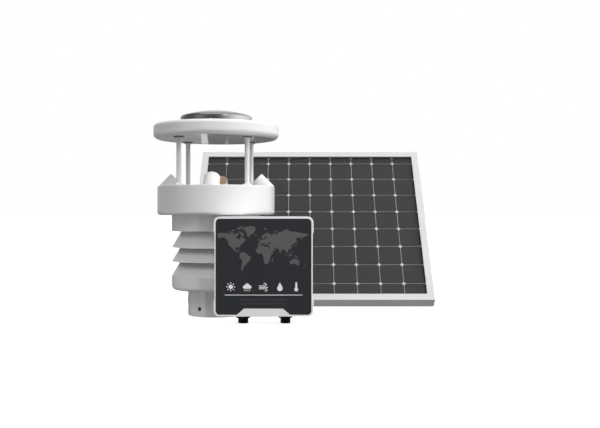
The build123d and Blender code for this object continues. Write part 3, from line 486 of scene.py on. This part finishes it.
# Rough outlines of the land, as (longitude, latitude).
LAND = (
    # North America
    ((-168, 66), (-161, 70), (-156, 71), (-141, 70), (-128, 70), (-115, 69), (-108, 68), (-96, 68),
     (-94, 72), (-90, 69), (-82, 69), (-85, 66), (-93, 62), (-94, 59), (-88, 57), (-82, 55), (-80, 52),
     (-79, 55), (-77, 58), (-78, 62), (-72, 62), (-66, 58), (-61, 57), (-56, 52), (-60, 50), (-66, 50),
     (-65, 48), (-61, 46), (-66, 44), (-70, 43), (-74, 40), (-76, 36), (-81, 31), (-80, 26), (-83, 29),
     (-90, 29.5), (-97, 27), (-97, 21), (-94, 18), (-90, 21), (-87, 21), (-88, 16), (-83, 15),
     (-83, 10), (-80, 9), (-78, 7), (-85, 10), (-91, 14), (-97, 16), (-105, 20), (-106, 24), (-112, 30),
     (-115, 31), (-117, 33), (-121, 35), (-124, 40), (-124, 47), (-130, 54), (-137, 59), (-146, 61),
     (-152, 59), (-158, 57), (-164, 54.5), (-158, 58.5), (-162, 59), (-165, 61), (-165, 64)),
    # Greenland
    ((-45, 60), (-51, 64), (-54, 70), (-60, 76), (-70, 77), (-62, 81.5), (-45, 82.5), (-30, 83.5),
     (-18, 81), (-20, 75), (-25, 70), (-38, 66), (-43, 61)),
    # Baffin, Ellesmere, Victoria and Banks islands
    ((-66, 62), (-74, 64), (-78, 70), (-88, 72), (-80, 74), (-70, 71), (-62, 67)),
    ((-90, 77), (-88, 81), (-70, 83), (-64, 82), (-78, 78)),
    ((-117, 70), (-105, 69), (-103, 73), (-115, 73.5)),
    ((-125, 72), (-119, 73.5), (-122, 76)),
    ((-110, 75), (-97, 75), (-98, 77), (-108, 77)),
    # South America
    ((-78, 7), (-72, 12), (-62, 11), (-52, 5), (-50, 0), (-44, -3), (-35, -6), (-39, -14), (-41, -22),
     (-48, -26), (-54, -34), (-58, -38), (-62, -39), (-65, -45), (-69, -50), (-68, -55), (-74, -52),
     (-75, -46), (-72, -38), (-71, -28), (-70, -18), (-76, -14), (-81, -6), (-80, 0), (-77, 4)),
    # Cuba
    ((-85, 22), (-75, 19.5), (-78, 21.5), (-82, 23.5)),
    # Africa and Madagascar
    ((-6, 36), (10, 37), (11, 34), (20, 31), (30, 31), (33, 29), (37, 21), (43, 12), (51, 12), (47, 5),
     (40, -3), (40, -11), (35, -20), (33, -27), (27, -34), (19, -34.5), (15, -26), (12, -17), (13, -8),
     (9, -1), (9, 4), (4, 6), (-4, 5), (-8, 4.5), (-13, 9), (-17, 14), (-16, 21), (-10, 29), (-9, 33)),
    ((49, -12), (50, -16), (47, -25), (44, -24), (44, -17)),
    # Europe and Asia
    ((-9, 37), (-9, 43), (-2, 43.5), (-1, 46), (-5, 48.5), (2, 51), (8, 54), (8, 57), (10.5, 57.5),
     (10, 54.5), (14, 54), (20, 55), (24, 59), (30, 60), (22, 60), (22, 63), (25, 65.5), (21, 65),
     (17, 61), (18, 59.5), (15, 56), (12, 56.5), (10.5, 59), (6, 58), (5, 62), (13, 67), (20, 70),
     (28, 71), (41, 67), (38, 65), (44, 66), (45, 68), (54, 68.5), (60, 69), (68, 69), (67, 72),
     (72, 73), (80, 73), (87, 75), (104, 78), (113, 74), (128, 73), (140, 73), (160, 70), (180, 69),
     (190, 66), (180, 64.5), (178, 62.5), (164, 60), (162, 56), (157, 51), (156, 57), (163, 62),
     (154, 59.5), (142, 59), (136, 55), (141, 53), (140, 48), (132, 43), (127, 40), (129, 36),
     (126, 34.5), (125, 39), (118, 39), (122, 37), (119, 35), (122, 30), (118, 24), (110, 21),
     (106, 20), (109, 13), (105, 9), (100, 13), (99, 9), (104, 1.5), (98, 8), (97, 17), (91, 22),
     (87, 21), (80, 15), (80, 10), (77, 8), (73, 17), (72, 21), (67, 25), (57, 26), (50, 30), (51, 25),
     (56, 25.5), (59, 22), (55, 17), (45, 13), (43, 14), (39, 21), (35, 28), (35, 36), (27, 37),
     (26, 40), (35, 42), (41, 41.5), (38, 45), (39, 47), (33, 46), (30, 46), (28, 42), (23, 40),
     (24, 38), (22, 37), (19, 41), (13, 45.5), (18, 40), (16, 38), (11, 42.5), (7, 43.5), (3, 42.5),
     (0, 39), (-2, 37), (-6, 36.5)),
    # Britain, Ireland, Iceland
    ((-5, 50), (1, 51), (0, 53), (-2, 57.5), (-5, 58.5), (-5, 55), (-3, 54)),
    ((-10, 52), (-6, 52), (-6, 55), (-10, 54)),
    ((-24, 65), (-18, 63.5), (-14, 65), (-16, 66.3), (-22, 66.3)),
    # Arctic islands of Europe
    ((52, 71), (56, 71), (68, 76.5), (58, 75.5)),
    ((12, 78), (20, 77), (27, 80), (14, 80)),
    # Japan and Sakhalin
    ((130, 31.5), (136, 34), (140, 35), (142, 39.5), (141, 42), (145, 43.5), (142, 45.5), (140, 42),
     (139, 38), (135, 35.5), (131, 34)),
    ((142, 46), (144, 50), (143, 54), (142, 50)),
    # South-east Asia
    ((95, 5.5), (104, -2), (106, -6), (101, -3)),
    ((106, -6.5), (114, -7.5), (114, -8.5), (106, -7.5)),
    ((109, 1.5), (117, 7), (119, 1), (116, -4), (110, -3)),
    ((120, 1), (125, 1.5), (122, -1), (123, -5), (120, -5)),
    ((131, -1), (141, -3), (150, -10), (143, -9), (138, -8), (133, -4)),
    ((120, 18), (122, 18), (126, 8), (123, 8), (121, 14)),
    ((80, 9), (82, 7), (80, 6)),
    # Australia, Tasmania and New Zealand
    ((114, -22), (122, -18), (129, -15), (136, -12), (136, -15), (140, -17.5), (142, -11), (146, -19),
     (153, -26), (150, -37), (144, -38.5), (138, -35), (131, -31.5), (124, -33), (115, -34.5),
     (114, -28)),
    ((145, -41), (148, -41), (147, -43.5)),
    ((173, -35), (178, -38), (175, -41.5), (174, -39.5)),
    ((173, -41), (174, -42), (169, -46.5), (167, -45)),
)


def map_point(longitude, latitude):
    """Place of a spot on the dark panel in Miller's projection: x from its middle, z from its bottom."""
    height = 1.25 * math.log(math.tan(math.pi / 4 + 0.4 * math.radians(latitude)))
    return MAP_MERIDIAN + longitude * MAP_DEGREE, MAP_EQUATOR + math.degrees(height) * MAP_DEGREE


def printed(name, outlines, material):
    """Thin printed areas on the dark panel from closed outlines of (x, z), x from its middle."""
    centre_x = (PANEL_LOW.x + PANEL_HIGH.x) / 2
    face_y = PANEL_LOW.y
    build = bmesh.new()
    for outline in outlines:
        loop = [build.verts.new((centre_x + x, face_y - PRINT_T, PANEL_LOW.z + z)) for x, z in outline]
        build.faces.new(loop)
    bmesh.ops.recalc_face_normals(build, faces=build.faces[:])
    for face in build.faces:
        if face.normal.y > 0:
            face.normal_flip()
    grown = bmesh.ops.extrude_face_region(build, geom=build.faces[:], use_keep_orig=True)
    for element in grown["geom"]:
        if isinstance(element, bmesh.types.BMVert):
            element.co.y = face_y
    bmesh.ops.recalc_face_normals(build, faces=build.faces[:])
    bmesh.ops.triangulate(build, faces=[f for f in build.faces if len(f.verts) > 4])
    mesh = bpy.data.meshes.new(name)
    build.to_mesh(mesh)
    build.free()
    mesh.materials.append(material)
    piece = bpy.data.objects.new(name, mesh)
    bpy.context.scene.collection.objects.link(piece)
    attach(piece, "controller")


def arc(x, z, radius, start, end, steps=14):
    """Points along an arc, angles in degrees."""
    angles = [math.radians(start + (end - start) * i / steps) for i in range(steps + 1)]
    return [(x + radius * math.cos(a), z + radius * math.sin(a)) for a in angles]


def bar(x0, z0, x1, z1, width):
    """Straight bar of a width between two points."""
    dx, dz = x1 - x0, z1 - z0
    length = math.hypot(dx, dz)
    nx, nz = -dz / length * width / 2, dx / length * width / 2
    return [(x0 + nx, z0 + nz), (x0 - nx, z0 - nz), (x1 - nx, z1 - nz), (x1 + nx, z1 + nz)]


def ribbon(path, width):
    """Outline of a stroke of a width along a path of points."""
    left, right = [], []
    for i, (x, z) in enumerate(path):
        before, after = path[max(i - 1, 0)], path[min(i + 1, len(path) - 1)]
        dx, dz = after[0] - before[0], after[1] - before[1]
        length = math.hypot(dx, dz)
        nx, nz = -dz / length * width / 2, dx / length * width / 2
        left.append((x + nx, z + nz))
        right.append((x - nx, z - nz))
    return left + right[::-1]


def sun():
    """Disc with eight rays, in a box about 10 across."""
    rays = []
    for i in range(8):
        c, s = math.cos(i * math.pi / 4), math.sin(i * math.pi / 4)
        rays.append(bar(3.4 * c, 3.4 * s, 5.2 * c, 5.2 * s, SIGN_STROKE))
    return [arc(0, 0, 2.5, 0, 345, 23)] + rays


def cloud():
    """Cloud outline with three drops under it."""
    outline = arc(3.1, -0.2, 2.0, -90, 62) + arc(0.1, 1.2, 2.8, 18, 158) + arc(-3.2, -0.4, 1.8, 108, 270)
    drops = [bar(x + 0.4, -3.1, x - 0.4, -5.0, SIGN_STROKE) for x in (-2.6, 0, 2.6)]
    return [outline] + drops


def drop():
    """Water drop."""
    return [[(0, 5.2)] + arc(0, -1.7, 3.2, 152, 388, 22)]


def wind():
    """Three gusts with curled ends."""
    upper = [(-5.2, 1.1), (1.6, 1.1)] + arc(1.6, 2.6, 1.5, -80, 160, 12)
    middle_gust = [(-5.2, -0.6), (5.2, -0.6)]
    lower = [(-5.2, -2.3), (2.8, -2.3)] + arc(2.8, -3.6, 1.3, 80, -150, 12)
    return [ribbon(gust, SIGN_STROKE) for gust in (upper, middle_gust, lower)]


def thermometer():
    """Round bulb under a rounded stem."""
    return [arc(0, -3.0, 2.3, 120, 420, 20) + arc(0, 4.2, 1.15, 0, 180, 10)]


def rule(width, height, thickness):
    """Level rule across the middle of the panel, from millimetres to metres."""
    return [(x * MM, z * MM) for x, z in bar(-width / 2, height, width / 2, height, thickness)]


def print_front():
    """World map, weather signs and thin rules on the dark panel."""
    ink_grey = print_ink("print_grey", 93)
    ink_white = print_ink("print_white", 236)
    ink_dim = print_ink("print_dim", 66)
    printed("print_map", [[map_point(*spot) for spot in land] for land in LAND], ink_grey)
    signs = []
    for i, sign in enumerate((sun, cloud, wind, drop, thermometer)):
        shift = (i - 2) * SIGN_PITCH
        for outline in sign():
            signs.append([((x + shift) * MM, (z + SIGN_HEIGHT) * MM) for x, z in outline])
    signs.append(rule(*WHITE_RULE))
    printed("print_signs", signs, ink_white)
    printed("print_rules", [rule(*sizes) for sizes in DIM_RULES], ink_dim)


# ---------------------------------------------------------------- stage, light and camera


def lay_floor():
    """Large pale floor under everything, seen by the camera alone so that it doesn't light undersides."""
    mesh = bpy.data.meshes.new("floor")
    corners = [(x * FLOOR_HALF, y * FLOOR_HALF, 0) for x, y in ((-1, -1), (1, -1), (1, 1), (-1, 1))]
    mesh.from_pydata(corners, [], [(0, 1, 2, 3)])
    mesh.materials.append(floor_white())
    floor = bpy.data.objects.new("floor", mesh)
    floor.location.z = -FLOOR_DROP
    floor.visible_diffuse = False
    floor.visible_glossy = False
    bpy.context.scene.collection.objects.link(floor)


def light_world():
    """Soft studio surroundings in four sides, top and bottom, in front of a plain white sky."""
    world = bpy.data.worlds.new("studio")
    bpy.context.scene.world = world
    world.use_nodes = True
    tree = world.node_tree
    studio = tree.nodes["Background"]

    def add(kind, *sources, **settings):
        made = tree.nodes.new(kind)
        for key, value in settings.items():
            setattr(made, key, value)
        for socket, source in zip(made.inputs, sources):
            if isinstance(source, bpy.types.NodeSocket):
                tree.links.new(source, socket)
            else:
                socket.default_value = source
        return made

    def total(operation, *sources):
        return add("ShaderNodeMath", *sources, operation=operation).outputs[0]

    way = add("ShaderNodeTexCoord").outputs["Generated"]
    height = add("ShaderNodeSeparateXYZ", way).outputs["Z"]
    level = add("ShaderNodeVectorMath", way, (1, 1, 0), operation="MULTIPLY").outputs[0]
    heading = add("ShaderNodeVectorMath", level, operation="NORMALIZE").outputs[0]
    compass = add("ShaderNodeSeparateXYZ", heading)
    ramp = add("ShaderNodeValToRGB", total("MULTIPLY_ADD", height, 0.5, 0.5))
    for position in SKY_EDGES[1:3]:
        ramp.color_ramp.elements.new((position + 1) / 2)
    for element, position, share in zip(ramp.color_ramp.elements, SKY_EDGES, SKY_SHARES):
        element.position = (position + 1) / 2
        element.color = share
    shares = add("ShaderNodeSeparateColor", ramp.outputs["Color"])
    right = total("GREATER_THAN", compass.outputs["X"], 0.0)
    back = total("GREATER_THAN", compass.outputs["Y"], 0.0)
    sideways = total("MULTIPLY_ADD", right, SKY["right"] - SKY["left"], SKY["left"])
    endways = total("MULTIPLY_ADD", back, SKY["back"] - SKY["front"], SKY["front"])
    blend = total("MULTIPLY", compass.outputs["Y"], compass.outputs["Y"])
    around = total("MULTIPLY_ADD", total("SUBTRACT", endways, sideways), blend, sideways)
    glow = total("MULTIPLY", shares.outputs["Green"], around)
    glow = total("MULTIPLY_ADD", shares.outputs["Red"], SKY["bottom"], glow)
    glow = total("MULTIPLY_ADD", shares.outputs["Blue"], SKY["top"], glow)
    tree.links.new(glow, studio.inputs["Strength"])
    white = add("ShaderNodeBackground", (1, 1, 1, 1))
    seen = add("ShaderNodeLightPath").outputs["Is Camera Ray"]
    mix = add("ShaderNodeMixShader", seen, studio.outputs["Background"], white.outputs["Background"])
    studio.inputs["Color"].default_value = (1, 1, 1, 1)
    tree.links.new(mix.outputs["Shader"], tree.nodes["World Output"].inputs["Surface"])


def area_light(name, azimuth, elevation, size, power):
    turn, rise = math.radians(azimuth), math.radians(elevation)
    way = Vector((math.sin(turn) * math.cos(rise), -math.cos(turn) * math.cos(rise), math.sin(rise)))
    data = bpy.data.lights.new(name, "AREA")
    data.size = size
    data.energy = power
    light = bpy.data.objects.new(name, data)
    light.location = LIGHT_TARGET + way * LIGHT_DISTANCE
    light.rotation_euler = way.to_track_quat("Z", "Y").to_euler()
    light.visible_glossy = False
    bpy.context.scene.collection.objects.link(light)


def curved_wall(name, start, end, low, high, glow):
    """Upright curved wall of light between two azimuths and elevations, which only glossy reflections see."""
    heights = [EYE_HEIGHT + WALL_DISTANCE * math.tan(math.radians(rise)) for rise in (low, high)]
    corners = []
    for i in range(WALL_STEPS + 1):
        turn = math.radians(start + (end - start) * i / WALL_STEPS)
        x, y = WALL_DISTANCE * math.sin(turn), -WALL_DISTANCE * math.cos(turn)
        corners += [(x, y, height) for height in heights]
    faces = [(2 * i, 2 * i + 2, 2 * i + 3, 2 * i + 1) for i in range(WALL_STEPS)]
    mesh = bpy.data.meshes.new(name)
    mesh.from_pydata(corners, [], faces)
    look = Look(name, (0, 0, 0, 1), 1.0)
    look.set("Specular IOR Level", 0)
    look.set("Emission Color", (1, 1, 1, 1))
    level, slope, bend = glow
    look.set("Emission Strength", level)
    if slope or bend:
        place = look.along((0, 1 / WALL_DISTANCE, 0))
        rise = look.math("MULTIPLY_ADD", place, bend, slope)
        look.link(look.math("MULTIPLY_ADD", rise, place, level), look.shader.inputs["Emission Strength"])
    mesh.materials.append(look.material)
    wall = bpy.data.objects.new(name, mesh)
    wall.visible_camera = False
    wall.visible_diffuse = False
    wall.visible_shadow = False
    wall.visible_transmission = False
    bpy.context.scene.collection.objects.link(wall)


def place_camera():
    """Camera at the height and distance that the perspective asks for, looking level towards +Y."""
    low = cad_box[0]
    data = bpy.data.cameras.new("camera")
    data.sensor_width = SENSOR_MM
    data.lens = LENS_MM
    camera = bpy.data.objects.new("camera", data)
    camera.location = (EYE_SIDE, low[1] - EYE_AHEAD, EYE_HEIGHT)
    camera.rotation_euler = (math.pi / 2, 0, 0)
    bpy.context.scene.collection.objects.link(camera)
    bpy.context.scene.camera = camera


dress_nodes()
print_front()
lay_floor()
light_world()
for name, settings in LIGHTS.items():
    area_light(name, *settings)
for name, settings in WALLS.items():
    curved_wall(name, *settings)
place_camera()
bpy.context.scene.view_settings.view_transform = "Standard"
